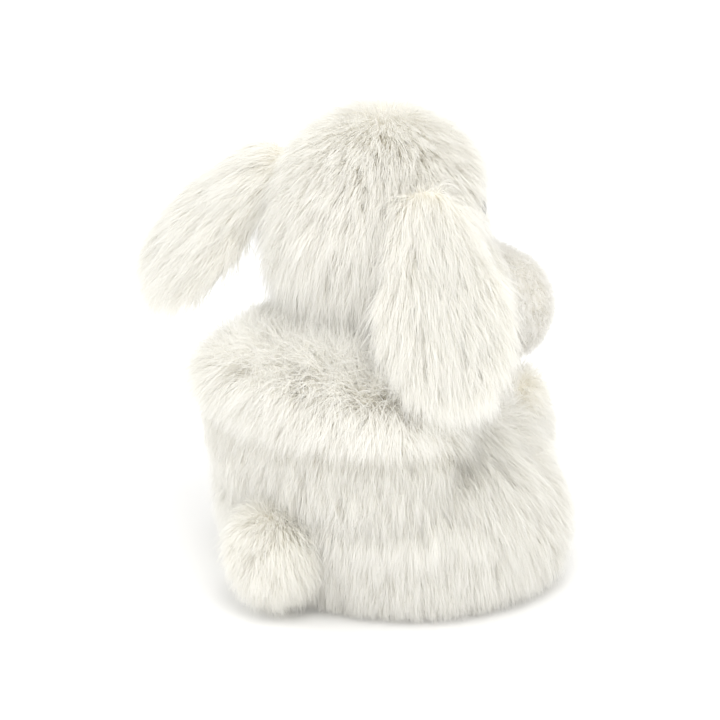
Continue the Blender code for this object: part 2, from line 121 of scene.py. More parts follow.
class Graph:
    """The nodes of one material."""

    def __init__(self, name: str) -> None:
        """Makes a material with an output and no shader yet."""
        self.material = bpy.data.materials.new(name)
        self.material.use_nodes = True
        self.tree = self.material.node_tree
        self.tree.nodes.clear()
        self.output = self.tree.nodes.new("ShaderNodeOutputMaterial")

    def node(self, kind: str, settings: dict | None = None, inputs: dict | None = None) -> bpy.types.Node:
        """Adds a node.

        Args:
            kind: The node's type.
            settings: Its own properties, set before its sockets.
            inputs: Values or links by socket name or number.

        Returns:
            The node.
        """
        made = self.tree.nodes.new(kind)
        for key, value in (settings or {}).items():
            setattr(made, key, value)
        for key, value in (inputs or {}).items():
            source = value.socket if isinstance(value, Value) else value
            if isinstance(source, bpy.types.NodeSocket):
                self.tree.links.new(source, made.inputs[key])
            else:
                made.inputs[key].default_value = source
        return made

    def value(self, kind: str, settings: dict, inputs: dict, output: int | str = 0) -> Value:
        """Adds a node and returns one of its outputs as a Value."""
        return Value(self, self.node(kind, settings, inputs).outputs[output])

    def blend(self, share: Value, low: Colour, high: Colour) -> bpy.types.NodeSocket:
        """Mixes two colours by a share that varies over the surface.

        Args:
            share: 0 gives low and 1 gives high.
            low: A colour, or the socket of one.
            high: A colour, or the socket of one.

        Returns:
            The mixed colour's socket.
        """
        ends = [end if isinstance(end, bpy.types.NodeSocket) else (*end, 1) for end in (low, high)]
        mix = self.node("ShaderNodeMix", {"data_type": "RGBA"}, {0: share, 6: ends[0], 7: ends[1]})
        return mix.outputs[2]

    def place(self) -> bpy.types.NodeSocket:
        """The object coordinates."""
        return self.node("ShaderNodeTexCoord").outputs["Object"]

    def noise(self, scale: float, detail: float = 2.0) -> Value:
        """Noise on object coordinates, from 0 to 1."""
        inputs = {"Vector": self.place(), "Scale": scale, "Detail": detail}
        return self.value("ShaderNodeTexNoise", {}, inputs)

    def bump(self, height: Value, distance: float, strength: float) -> bpy.types.NodeSocket:
        """A bumped normal from a height."""
        inputs = {"Height": height, "Distance": distance, "Strength": strength}
        return self.node("ShaderNodeBump", {}, inputs).outputs["Normal"]

    def close(self, shader: bpy.types.NodeSocket) -> bpy.types.Material:
        """Connects the last shader and returns the material."""
        self.tree.links.new(shader, self.output.inputs["Surface"])
        return self.material


@dataclass(frozen=True)
class PileFinish:
    """Silky polyester pile: creamy at the root, white at the tip, no two strands quite alike. The warm cream at
    the root is partly painted shade: it gives the shade deep in the pile its tan.
    """

    name: str
    root: tuple[float, float, float]
    tip: tuple[float, float, float]
    dim_tip: tuple[float, float, float]
    through: float = 0.50
    roughness: float = 0.42
    sheen: float = 0.25
    whitening: float = 0.6

    def material(self) -> bpy.types.Material:
        """Makes the material on each strand's own map: across is which strand, up is how far along."""
        graph = Graph(self.name)
        strand = graph.node("ShaderNodeUVMap", {"uv_map": STRAND_MAP}).outputs["UV"]
        parts = graph.node("ShaderNodeSeparateXYZ", {}, {0: strand})
        which = Value(graph, parts.outputs["X"])
        along = Value(graph, parts.outputs["Y"])
        tip = graph.blend(which, self.dim_tip, self.tip)
        # The root's warm cream is partly painted tan shade deep in the pile; the colour whitens towards the tip.
        colour = graph.blend(along ** self.whitening, self.root, tip)
        inputs = {"Base Color": colour, "Roughness": self.roughness, "Sheen Weight": self.sheen}
        skin = graph.node("ShaderNodeBsdfPrincipled", {}, inputs)
        glow = graph.node("ShaderNodeBsdfTranslucent", {}, {"Color": colour})
        inputs = {0: self.through, 1: skin.outputs[0], 2: glow.outputs[0]}
        return graph.close(graph.node("ShaderNodeMixShader", {}, inputs).outputs[0])


@dataclass(frozen=True)
class ClothFinish:
    """Knitted or woven cloth: a fine mottled colour with a raised texture."""

    name: str
    low: tuple[float, float, float]
    high: tuple[float, float, float]
    grain: float
    relief: float = 0.0002
    roughness: float = 0.9
    sheen: float = 0.2
    coarser: float = 12.0
    fine_share: float = 0.6
    bumpiness: float = 0.6

    def material(self) -> bpy.types.Material:
        """Makes the material on object coordinates."""
        graph = Graph(self.name)
        fine = graph.noise(self.grain)
        broad = graph.noise(self.grain / self.coarser)
        colour = graph.blend(fine * self.fine_share + broad * (1 - self.fine_share), self.low, self.high)
        inputs = {
            "Base Color": colour,
            "Roughness": self.roughness,
            "Sheen Weight": self.sheen,
            "Normal": graph.bump(fine, self.relief, self.bumpiness),
        }
        return graph.close(graph.node("ShaderNodeBsdfPrincipled", {}, inputs).outputs[0])


@dataclass(frozen=True)
class StitchFinish:
    """Thread laid side by side or twisted: fine bands with a soft shine."""

    name: str
    low: tuple[float, float, float]
    high: tuple[float, float, float]
    pitch: float
    direction: str = "X"
    roughness: float = 0.45
    sheen: float = 0.3
    bumpiness: float = 0.7

    def material(self) -> bpy.types.Material:
        """Makes the material, with one band for each turn of thread."""
        graph = Graph(self.name)
        settings = {"wave_type": "BANDS", "bands_direction": self.direction}
        inputs = {"Vector": graph.place(), "Scale": BAND_PITCH / self.pitch, "Distortion": 0.8, "Detail": 1.0}
        band = graph.value("ShaderNodeTexWave", settings, inputs, "Fac")
        inputs = {
            "Base Color": graph.blend(band, self.low, self.high),
            "Roughness": self.roughness,
            "Sheen Weight": self.sheen,
            "Normal": graph.bump(band, self.pitch / 3, self.bumpiness),
        }
        return graph.close(graph.node("ShaderNodeBsdfPrincipled", {}, inputs).outputs[0])


@dataclass(frozen=True)
class PlasticFinish:
    """Moulded plastic, with faint handling marks in its gloss."""

    name: str
    low: tuple[float, float, float]
    high: tuple[float, float, float]
    roughness: float
    coat: float = 0.0
    coat_roughness: float = 0.03
    grain: float = 900.0
    marking: float = 0.08

    def material(self) -> bpy.types.Material:
        """Makes the material on object coordinates."""
        graph = Graph(self.name)
        marks = graph.noise(self.grain, 3.0)
        inputs = {
            "Base Color": graph.blend(marks, self.low, self.high),
            "Roughness": marks * self.marking + self.roughness,
            "Coat Weight": self.coat,
            "Coat Roughness": self.coat_roughness,
        }
        return graph.close(graph.node("ShaderNodeBsdfPrincipled", {}, inputs).outputs[0])


# Long pile: its warm root tone is partly painted tan shade deep in the pile.
LONG_PILE = PileFinish("long_pile", (0.965, 0.943, 0.880), (0.989, 0.987, 0.973), (0.979, 0.975, 0.952))
# Short pile: its creamier, darker tone is partly painted shade, standing in for the shadow that the short nap does
# not cast.
SHORT_PILE = PileFinish("short_pile", (0.958, 0.945, 0.910), (0.980, 0.977, 0.966), (0.967, 0.962, 0.946))
# Tail pile: lighter at the root than the long pile, painted light that offsets the shade round the tail.
TAIL_PILE = PileFinish("tail_pile", (0.970, 0.950, 0.890), (0.989, 0.986, 0.968), (0.980, 0.973, 0.942))
BACKING = ClothFinish("backing", (0.94, 0.92, 0.865), (0.97, 0.955, 0.915), 1400.0)
VELOUR = ClothFinish("velour", (0.80, 0.72, 0.68), (0.90, 0.84, 0.80), 2200.0, sheen=0.5)
FIBRE = ClothFinish("fibre", (0.86, 0.86, 0.86), (0.96, 0.96, 0.96), 500.0, 0.001)
PELLET_CLOTH = ClothFinish("pellet_cloth", (0.70, 0.70, 0.67), (0.84, 0.84, 0.81), 900.0, 0.0006)
SEWING_THREAD = StitchFinish("sewing_thread", (0.72, 0.70, 0.65), (0.90, 0.89, 0.86), 0.0005, "DIAGONAL")
NOSE_THREAD = StitchFinish("nose_thread", (0.52, 0.26, 0.27), (0.80, 0.52, 0.52), 0.00045, "X")
BLACK_GLOSS = PlasticFinish("black_gloss", (0.010, 0.008, 0.007), (0.022, 0.018, 0.015), 0.05, 0.8)
NATURAL_PLASTIC = PlasticFinish("natural_plastic", (0.70, 0.70, 0.69), (0.80, 0.80, 0.79), 0.40)


_made: dict[str, bpy.types.Material] = {}


def material_once(finish: PileFinish | ClothFinish | StitchFinish | PlasticFinish) -> bpy.types.Material:
    """The finish's material, made the first time that it is asked for."""
    if finish.name not in _made:
        _made[finish.name] = finish.material()
    return _made[finish.name]


def add_object(name: str, mesh: bpy.types.Mesh) -> bpy.types.Object:
    """Links a mesh as a new object at the origin."""
    item = bpy.data.objects.new(name, mesh)
    bpy.context.scene.collection.objects.link(item)
    return item


def mesh_of(name: str, bm: bmesh.types.BMesh) -> bpy.types.Mesh:
    """Turns a bmesh into a smooth-shaded mesh and frees it."""
    mesh = bpy.data.meshes.new(name)
    bm.to_mesh(mesh)
    bm.free()
    mesh.shade_smooth()
    return mesh


def settled(item: bpy.types.Object, name: str) -> bpy.types.Mesh:
    """The object's mesh with its modifiers applied."""
    seen = item.evaluated_get(bpy.context.evaluated_depsgraph_get())
    mesh = bpy.data.meshes.new_from_object(seen)
    mesh.name = name
    return mesh


def points_of(mesh: bpy.types.Mesh) -> Array:
    """The mesh's vertices as an array of rows."""
    flat = np.zeros(len(mesh.vertices) * 3, np.float32)
    mesh.vertices.foreach_get("co", flat)
    return flat.reshape(-1, 3).astype(float)


def unit(rows: Array) -> Array:
    """Each row at length one."""
    return rows / np.maximum(np.linalg.norm(rows, axis=1, keepdims=True), TINY)


def tree_of(points: Sequence) -> KDTree:
    """A tree that finds the nearest of some points."""
    tree = KDTree(len(points))
    for index, point in enumerate(points):
        tree.insert(point, index)
    tree.balance()
    return tree


def flattened(rows: Array, normals: Array) -> Array:
    """Each row laid into the surface whose normal is given, at length one."""
    return unit(rows - normals * np.sum(rows * normals, axis=1, keepdims=True))


def joint_point(name: str) -> Vector:
    """Where a joint turns."""
    return Vector(next(joint["pos_m"] for joint in frame["joints"] if joint["name"] == name))


def joint_axis(name: str) -> Vector:
    """The direction that a joint turns about."""
    return Vector(next(joint["axis"] for joint in frame["joints"] if joint["name"] == name)).normalized()


def everywhere(spots: Array, normals: Array) -> Array:
    """Every root."""
    return np.ones(len(spots))


def resting(spots: Array, normals: Array) -> Array:
    """Whether each root is on the underside that rests on the floor."""
    return (spots[:, 2] < UNDERSIDE) & (normals[:, 2] < -0.6)


def downwards(spots: Array, normals: Array) -> Array:
    """Combed straight down."""
    return np.tile((0.0, 0.0, -1.0), (len(spots), 1))


@dataclass
class Padding:
    """How a cover is blown up from its CAD solids by its stuffing."""

    voxel: float = 0.004
    shrink: float = 0.0008
    pressure: float = 4.0
    cap: float = 0.0028
    seam_width: float = 0.0030
    seam_hold: float = 0.8
    fill: float = 0.85
    frames: int = 20


@dataclass
class Cover:
    """The sewn cloth cover of one stuffed form."""

    name: str
    body: str
    nodes: list[str]
    core: list[str]
    seams: list[Plane] = field(default_factory=list)
    padding: Padding = field(default_factory=Padding)
    finish: ClothFinish = BACKING
    slot: str = "fur"

    def closed_form(self) -> bpy.types.Mesh:
        """The form's outer surface as one closed mesh of even facets."""
        bm = bmesh.new()
        for node in self.nodes + self.core:
            bm.from_mesh(frame["nodes"][node].data)
        bmesh.ops.remove_doubles(bm, verts=bm.verts, dist=WELD)
        item = add_object(self.name + "_raw", mesh_of(self.name + "_raw", bm))
        remesh = item.modifiers.new("even", "REMESH")
        remesh.mode = "VOXEL"
        remesh.voxel_size = self.padding.voxel
        mesh = settled(item, self.name)
        bpy.data.objects.remove(item)
        return self.outermost(mesh)

    def outermost(self, mesh: bpy.types.Mesh) -> bpy.types.Mesh:
        """Keeps the largest of the mesh's separate surfaces, which is the outer one."""
        bm = bmesh.new()
        bm.from_mesh(mesh)
        left = set(bm.verts)
        islands = []
        while left:
            island = {left.pop()}
            front = list(island)
            while front:
                vert = front.pop()
                near = {edge.other_vert(vert) for edge in vert.link_edges} & left
                left -= near
                island |= near
                front.extend(near)
            islands.append(island)
        largest = max(islands, key=len)
        bmesh.ops.delete(bm, geom=[vert for vert in bm.verts if vert not in largest], context="VERTS")
        bmesh.ops.recalc_face_normals(bm, faces=bm.faces)
        axes = {"use_axis_x": True, "use_axis_y": True, "use_axis_z": True}
        bmesh.ops.smooth_vert(bm, verts=bm.verts, factor=0.5, **axes)
        return mesh_of(self.name, bm)

    def shrunk(self, mesh: bpy.types.Mesh) -> None:
        """Draws the surface in a little, to leave the stuffing room to swell it."""
        bm = bmesh.new()
        bm.from_mesh(mesh)
        for vert in bm.verts:
            vert.co -= vert.normal * self.padding.shrink
        bm.to_mesh(mesh)
        bm.free()

    def seam_group(self, item: bpy.types.Object) -> str:
        """Marks the points on the seams, which the thread holds back."""
        group = item.vertex_groups.new(name="seams")
        floor = self.padding.voxel / 2
        for vert in item.data.vertices:
            gaps = [abs((vert.co - point).dot(normal)) for point, normal in self.seams]
            if min(gaps, default=1.0) < self.padding.seam_width or vert.co.z < floor:
                group.add([vert.index], self.padding.seam_hold, "REPLACE")
        return group.name

    def swollen(self, mesh: bpy.types.Mesh) -> bpy.types.Mesh:
        """Blows the cover up as cloth under pressure, and caps how far each point may go."""
        item = add_object(self.name + "_cloth", mesh)
        rest = points_of(mesh)
        cloth = item.modifiers.new("cloth", "CLOTH")
        cloth.settings.use_pressure = True
        cloth.settings.uniform_pressure_force = self.padding.pressure
        cloth.settings.effector_weights.gravity = 0
        cloth.settings.vertex_group_mass = self.seam_group(item)
        for step in range(1, self.padding.frames + 1):
            bpy.context.scene.frame_set(step)
        made = settled(item, self.name)
        moved = points_of(made) - rest
        far = np.linalg.norm(moved, axis=1, keepdims=True)
        held = rest + moved * np.minimum(1.0, self.padding.cap / np.maximum(far, TINY))
        held[:, 2] = np.maximum(held[:, 2], FLOOR_CLEARANCE)
        made.vertices.foreach_set("co", held.astype(np.float32).ravel())
        made.update()
        bpy.data.objects.remove(item)
        bpy.context.scene.frame_set(1)
        return made

    def build(self) -> bpy.types.Object:
        """Returns:
            The finished piece.
        """
        mesh = self.closed_form()
        self.shrunk(mesh)
        mesh = self.swollen(mesh)
        item = add_object(self.name, mesh)
        smooth = item.modifiers.new("smooth", "SUBSURF")
        smooth.levels = 1
        smooth.render_levels = 1
        item.data = settled(item, self.name)
        item.modifiers.clear()
        item.vertex_groups.clear()
        item.data.shade_smooth()
        item.data.materials.clear()
        item.data.materials.append(material_once(self.finish))
        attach(item, self.body)
        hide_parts(*self.nodes)
        LOG.info("%s: %d faces", self.name, len(item.data.polygons))
        return item


@dataclass
class Pile:
    """The fur on one stretch of cover: how thick, how long and how it lies.

    Lengths and widths are in metres and density in strands to the square metre. lift is how steeply a
    strand leaves the cloth, gather how far a lock draws its strands together, stray how far they wander
    from the comb, droop how far they sag, twist how far a ribbon turns from lying flat. From bend on they
    are the powers of the way up a strand at which it bends over and is drawn in, and how much it narrows.
    """

    density: float = 5.5e6
    length: float = 0.0122
    spread: float = 0.30
    lift: float = 0.74
    width: float = 0.00027
    lock: float = 0.0042
    gather: float = 0.12
    stray: float = 0.14
    droop: float = 0.16
    twist: float = 0.30
    segments: int = 2
    bend: float = 1.4
    draw_in: float = 1.6
    narrowing: float = 0.55
    finish: PileFinish = LONG_PILE
    slot: str = "fur"


class Blade:
    """The one strand that every pile is made of: a flat ribbon that narrows to a point."""

    def __init__(self, segments: int) -> None:
        """Models the ribbon, a unit long and a unit wide, from a grid.

        Args:
            segments: How many lengths it bends in.
        """
        bm = bmesh.new()
        bmesh.ops.create_grid(bm, x_segments=1, y_segments=segments, size=0.5)
        bmesh.ops.translate(bm, verts=bm.verts, vec=(0, 0.5, 0))
        end = [vert for vert in bm.verts if vert.co.y > 1 - WELD]
        bmesh.ops.pointmerge(bm, verts=end, merge_co=(0, 1, 0))
        bmesh.ops.triangulate(bm, faces=bm.faces)
        bm.verts.index_update()
        self.across = np.array([vert.co.x for vert in bm.verts])
        self.along = np.array([vert.co.y for vert in bm.verts])
        self.faces = np.array([[vert.index for vert in face.verts] for face in bm.faces])
        bm.free()


@dataclass
class Roots:
    """Where strands are rooted: a row of each array for each strand."""

    spots: Array
    normals: Array
    lay: Array
    lengths: Array
    lock: Array

    def chosen(self, mask: Array) -> "Roots":
        """The roots that the mask picks."""
        return Roots(*(rows[mask] for rows in (self.spots, self.normals, self.lay, self.lengths, self.lock)))


@dataclass
class Coat:
    """Grows pile on a cover and cuts it into the pieces that its panels make."""

    cover: bpy.types.Object
    body: str
    seed: int
    least: float = 0.01
    uneven: float = 0.16

    def scattered(self, density: float, rng: np.random.Generator) -> tuple[Array, Array]:
        """Scatters roots evenly over the cover.

        Args:
            density: Strands to the square metre.
            rng: The source of chance.

        Returns:
            The roots and the cover's normals there.
        """
        mesh = self.cover.data
        mesh.calc_loop_triangles()
        corners = np.zeros(len(mesh.loop_triangles) * 3, np.int32)
        mesh.loop_triangles.foreach_get("vertices", corners)
        corners = corners.reshape(-1, 3)
        points = points_of(mesh)
        normals = np.zeros(len(mesh.vertices) * 3, np.float32)
        mesh.vertex_normals.foreach_get("vector", normals)
        normals = normals.reshape(-1, 3).astype(float)
        first, second, third = (points[corners[:, i]] for i in range(3))
        areas = np.linalg.norm(np.cross(second - first, third - first), axis=1) / 2
        count = int(areas.sum() * density)
        chosen = rng.choice(len(areas), count, p=areas / areas.sum())
        one, two = rng.random(count), rng.random(count)
        folded = one + two > 1
        one[folded], two[folded] = 1 - one[folded], 1 - two[folded]
        weights = np.stack([1 - one - two, one, two], axis=1)[:, :, None]
        spots = np.sum(points[corners[chosen]] * weights, axis=1)
        facing = unit(np.sum(normals[corners[chosen]] * weights, axis=1))
        return spots, facing

    def lock_of(self, spots: Array, spacing: float, rng: np.random.Generator) -> tuple[Array, int]:
        """Puts each root in the lock nearest to it.

        Args:
            spots: The roots.
            spacing: About how far apart the locks are.
            rng: The source of chance.

        Returns:
            The number of each root's lock, and how many locks there are.
        """
        area = sum(face.area for face in self.cover.data.polygons)
        count = max(4, min(len(spots), int(area / spacing ** 2)))
        heads = spots[rng.choice(len(spots), count, replace=False)]
        tree = tree_of(heads)
        return np.array([tree.find(spot)[1] for spot in spots]), count

    def grow(self, name: str, pile: Pile, comb: Comb, shorten: Comb, panels: dict[str, Comb]) -> None:
        """Grows one kind of pile over the whole cover and makes one piece of it for each panel.

        Args:
            name: What the pieces' names start with.
            pile: How the pile lies.
            comb: Gives each root's combing direction.
            shorten: Gives each root's share of the full length; roots at 0 grow nothing.
            panels: By name, which roots belong to each panel.
        """
        rng = np.random.default_rng(self.seed)
        spots, normals = self.scattered(pile.density, rng)
        share = shorten(spots, normals)
        kept = share > self.least
        spots, normals, share = spots[kept], normals[kept], share[kept]
        lock, locks = self.lock_of(spots, pile.lock, rng)
        lengths = pile.length * share * (1 - pile.spread + 2 * pile.spread * rng.random(len(spots)))
        lengths *= (1 - self.uneven / 2 + self.uneven * rng.random(locks))[lock]
        sway = rng.normal(0, pile.stray, (locks, 3))[lock] + rng.normal(0, pile.stray * 1.2, spots.shape)
        lay = flattened(comb(spots, normals) + sway, normals)
        roots = Roots(spots, normals, lay, lengths, lock)
        for panel, belongs in panels.items():
            mask = belongs(spots, normals).astype(bool)
            self.strands(name + "_" + panel if panel else name, pile, rng, roots.chosen(mask))

    def centre_lines(self, pile: Pile, rng: np.random.Generator, roots: Roots, levels: Array) -> Array:
        """The points that each strand passes through.

        Each strand leaves the cloth at a slope, bends over along its lay, and is drawn in towards the
        middle of its lock at the tip.

        Args:
            pile: How the pile lies.
            rng: The source of chance.
            roots: The strands' roots.
            levels: How far up a strand each point is, from 0 to 1.

        Returns:
            The points, by strand and by level.
        """
        members = np.bincount(roots.lock)
        middles = np.stack([np.bincount(roots.lock, roots.spots[:, i]) for i in range(3)], axis=1)
        middles = middles / np.maximum(members, 1)[:, None]
        inward = middles[roots.lock] - roots.spots
        lift = np.clip(pile.lift * (0.85 + 0.3 * rng.random(len(roots.spots))), 0, 0.97)
        rise = (roots.lengths * lift)[:, None]
        run = (roots.lengths * np.sqrt(1 - lift ** 2))[:, None]
        lines = []
        for level in levels:
            point = roots.spots + roots.normals * rise * math.sin(level * math.pi / 2)
            point = point + roots.lay * run * level ** pile.bend
            point = point + inward * pile.gather * level ** pile.draw_in
            point[:, 2] -= pile.droop * roots.lengths * level ** 2
            point[:, 2] = np.maximum(point[:, 2], FLOOR_CLEARANCE)
            lines.append(point)
        return np.stack(lines, axis=1)

    def strands(self, name: str, pile: Pile, rng: np.random.Generator, roots: Roots) -> None:
        """Makes one piece of pile, with the blade along each strand's line, and puts it on its body."""
        blade = Blade(pile.segments)
        count = len(roots.spots)
        levels = np.unique(blade.along)
        line = self.centre_lines(pile, rng, roots, levels)
        heading = unit(line[:, -1] - line[:, 0])
        turned = roots.normals + pile.twist * rng.normal(0, 1, roots.normals.shape)
        edge = unit(np.cross(heading, flattened(turned, heading)))
        row = np.searchsorted(levels, blade.along)
        half = blade.across * pile.width * (1 - pile.narrowing * blade.along)
        verts = line[:, row] + edge[:, None, :] * half[None, :, None]
        verts[:, :, 2] = np.maximum(verts[:, :, 2], FLOOR_CLEARANCE)
        faces = (blade.faces[None] + (np.arange(count) * len(row))[:, None, None]).reshape(-1, 3)
        mesh = bpy.data.meshes.new(name)
        mesh.from_pydata(verts.reshape(-1, 3), [], faces)
        corner = np.tile(blade.faces.ravel(), count)
        across = np.repeat(rng.random(count), blade.faces.size)
        places = np.stack([across, blade.along[corner]], axis=1).astype(np.float32)
        mesh.uv_layers.new(name=STRAND_MAP).data.foreach_set("uv", places.ravel())
        mesh.shade_smooth()
        mesh.materials.append(material_once(pile.finish))
        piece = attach(add_object(name, mesh), self.body)
        LOG.info("%s: %d strands", name, count)


@dataclass
class Body:
    """The body: its cover with side, belly and back seams, and the long pile on it.

    The pile is a ruff round the neck, longer by the share ruff, and is trimmed on the shoulders' sides.
    """

    side_seam_gap: float = 0.0003
    splay: float = 0.35
    lean_in: float = 0.80
    ruff: float = 1.1
    ruff_width: float = 0.070
    trim: float = 0.75
    trim_from: float = 0.046
    trim_depth: float = 0.02
    pile: Pile = field(default_factory=Pile)

    def comb(self, spots: Array, normals: Array) -> Array:
        """Down the back, out over the haunches, and in towards the neck on top of the shoulders."""
        outward = spots * (1.0, 1.0, 0.0)
        level = np.clip(1.4 * normals[:, 2:3] - 0.4, 0, 1)
        return unit(outward) * (self.splay - self.lean_in * level) + np.array((0.0, 0.0, -1.0)) * (1 - level)

    def shorten(self, spots: Array, normals: Array) -> Array:
        """Long round the neck, short on the shoulders' sides, and bare underneath and inside the neck."""
        neck = np.array(joint_point("neck_turn"))
        away = np.linalg.norm(spots - neck, axis=1)
        under = resting(spots, normals)
        share = 1 + self.ruff * np.clip(1 - (away - NECK_ROOM) / self.ruff_width, 0, 1)
        high = np.clip((spots[:, 2] - self.trim_from) / self.trim_depth, 0, 1)
        share -= self.trim * high * np.clip(1.2 - 2 * np.abs(normals[:, 2]), 0, 1)
        return np.where((away < NECK_ROOM) | under, 0.0, share)

    def build(self) -> None:
        """Makes the cover and its pile."""
        seam_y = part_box("belly_panel")[1].y + self.side_seam_gap / 2
        seams = [(Vector((0, seam_y, 0)), Vector((0, 1, 0))), (Vector((0, 0, 0)), Vector((1, 0, 0)))]
        panels = ["back_panel_left", "back_panel_right", "belly_panel", "base_panel"]
        cover = Cover("body_cover", "body", panels, ["body_stuffing", "pellet_bag"], seams).build()
        coat = Coat(cover, "body", 11)
        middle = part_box("body_stuffing")[1].z / 2
        cuts = {}
        for side in Side:
            cuts["belly_" + side.word] = lambda p, n, s=side.value: (p[:, 1] < seam_y) & (p[:, 0] * s >= 0)
            for place, sign in (("upper", 1), ("lower", -1)):
                cuts["%s_back_%s" % (place, side.word)] = lambda p, n, s=side.value, z=sign: (
                    (p[:, 1] >= seam_y) & (p[:, 0] * s >= 0) & ((p[:, 2] - middle) * z >= 0))
        coat.grow("body_pile", self.pile, self.comb, self.shorten, cuts)


@dataclass
class Head:
    """The head: its cover, long pile on the crown and short pile on the face."""

    face_seam_point: Vector = field(default_factory=lambda: Vector((0, -0.016, 0.118)))
    face_seam_normal: Vector = field(default_factory=lambda: Vector((0, -0.85, -0.53)).normalized())
    gusset_half: float = 0.0131
    eye_clearance: float = 0.0060
    nose_clearance: float = 0.0046
    mouth_width: float = 0.0060
    fringe: float = 1.2
    fringe_height: float = 0.056
    flare: float = 1.7
    flare_below: float = 0.150
    flare_depth: float = 0.02
    whorl_y: float = 0.004
    splay: float = 0.55
    fall: tuple[float, float, float] = (0.0, 0.10, -0.85)
    seam_fade: float = 0.010
    eye_near: float = 0.004
    eye_fade: float = 0.016
    eye_least: float = 0.25
    crown_least: float = 0.45
    mouth_least: float = 0.12
    crown_pile: Pile = field(default_factory=lambda: Pile(length=0.0125, lift=0.74, lock=0.0044, droop=0.12))
    face_pile: Pile = field(default_factory=lambda: Pile(
        density=4.0e6, length=0.0062, lift=0.62, width=0.00030, lock=0.0030, gather=0.35, stray=0.22,
        droop=0.05, segments=2, finish=SHORT_PILE, slot="short_fur"))

    def on_face(self, spots: Array) -> Array:
        """How far each root is in front of the face seam."""
        return (spots - np.array(self.face_seam_point)) @ np.array(self.face_seam_normal)

    def comb(self, spots: Array, normals: Array) -> Array:
        """Out from the top of the crown and down, flaring out below."""
        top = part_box("head_gusset")[1]
        outward = unit((spots - (0.0, self.whorl_y, top.z)) * (1.0, 1.0, 0.4))
        low = np.clip((self.flare_below - spots[:, 2:3]) / self.flare_depth, 0, 1)
        return outward * (self.splay + self.flare * low) + self.fall

    def face_comb(self, spots: Array, normals: Array) -> Array:
        """Back from the nose over the cheeks."""
        nose = np.array(sum(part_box("nose_stitching"), Vector()) / 2)
        return unit(spots - nose)

    def bare(self, spots: Array) -> Array:
        """The roots too near an eye, the nose or the neck."""
        near = np.zeros(len(spots), bool)
        for node, room in (("eye_left", self.eye_clearance), ("eye_right", self.eye_clearance),
                           ("nose_stitching", self.nose_clearance)):
            middle = np.array(sum(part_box(node), Vector()) / 2)
            near |= np.linalg.norm(spots - middle, axis=1) < room
        neck = np.array(joint_point("neck_turn"))
        return near | (np.linalg.norm(spots - neck, axis=1) < NECK_ROOM)

    def crown_length(self, spots: Array, normals: Array) -> Array:
        """Full length behind the face seam, shorter towards the eyes, and a long fringe low down."""
        share = np.clip(-self.on_face(spots) / self.seam_fade, 0.0, 1.0)
        for node in ("eye_left", "eye_right"):
            middle = np.array(sum(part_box(node), Vector()) / 2)
            away = np.linalg.norm(spots - middle, axis=1)
            share = np.minimum(share, np.clip((away - self.eye_near) / self.eye_fade, self.eye_least, 1.0))
        share = np.where(self.on_face(spots) > 0, 0.0, np.maximum(share, self.crown_least))
        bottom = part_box("head_side_left")[0].z
        low = np.clip((bottom + self.fringe_height - spots[:, 2]) / self.fringe_height, 0, 1)
        share *= 1 + self.fringe * low
        return np.where(self.bare(spots), 0.0, share)

    def face_length(self, spots: Array, normals: Array) -> Array:
        """Full length in front of the face seam, and short along the mouth."""
        tree = tree_of([vert.co for vert in frame["nodes"]["mouth_thread"].data.vertices])
        away = np.array([tree.find(spot)[2] for spot in spots])
        share = np.clip(away / self.mouth_width, self.mouth_least, 1.0)
        return np.where(self.bare(spots) | (self.on_face(spots) <= 0), 0.0, share)

    def build(self) -> None:
        """Makes the cover and both kinds of pile."""
        seams = [
            (self.face_seam_point, self.face_seam_normal),
            (Vector((self.gusset_half, 0, 0)), Vector((1, 0, 0))),
            (Vector((-self.gusset_half, 0, 0)), Vector((1, 0, 0))),
        ]
        panels = ["head_gusset", "head_side_left", "head_side_right", "throat_panel_left",
                  "throat_panel_right", "cheek_panel_left", "cheek_panel_right"]
        cover = Cover("head_cover", "head", panels, ["head_stuffing"], seams).build()
        cuts = {
            "gusset": lambda p, n: np.abs(p[:, 0]) < self.gusset_half,
            "side_left": lambda p, n: p[:, 0] >= self.gusset_half,
            "side_right": lambda p, n: p[:, 0] <= -self.gusset_half,
        }
        Coat(cover, "head", 21).grow("head_pile", self.crown_pile, self.comb, self.crown_length, cuts)
        cheeks = {"left": lambda p, n: p[:, 0] >= 0, "right": lambda p, n: p[:, 0] < 0}
        Coat(cover, "head", 22).grow("cheek_pile", self.face_pile, self.face_comb, self.face_length, cheeks)


